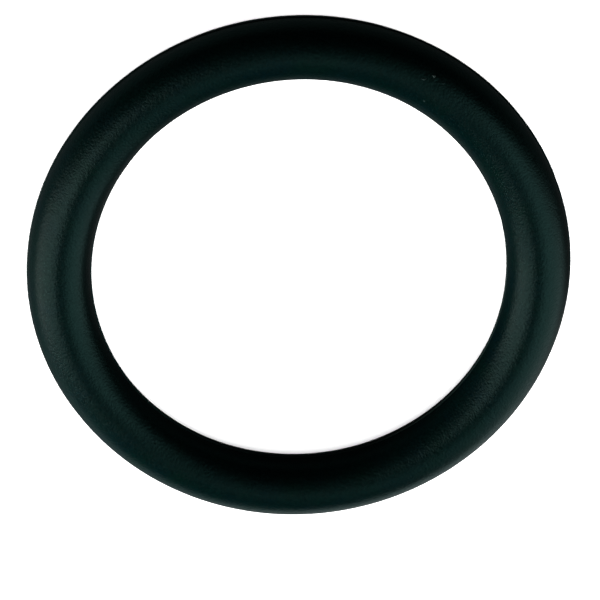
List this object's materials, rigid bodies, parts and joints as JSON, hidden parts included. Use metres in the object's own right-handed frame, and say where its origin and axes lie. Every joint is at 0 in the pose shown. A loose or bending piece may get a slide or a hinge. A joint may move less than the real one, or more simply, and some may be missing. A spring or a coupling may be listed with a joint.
{
  "type": "rubber o-ring",
  "caption": "Black rubber o-ring: a round section moulded as one closed ring, which seals when it is squeezed between a groove and a smooth wall.",
  "frame": {"origin": "centre of the ring, on the middle plane where the mould parts", "axes": "+Z along the ring's axis; the ring lies flat in the X-Y plane and is the same all round, so X and Y are free"},
  "size_m": [0.0306, 0.0306, 0.0036],
  "materials": {
    "rubber": "satin moulded rubber, near black with a cool green-blue cast"
  },
  "bodies": {
    "root": {"o_ring": "rubber"}
  },
  "joints": []
}
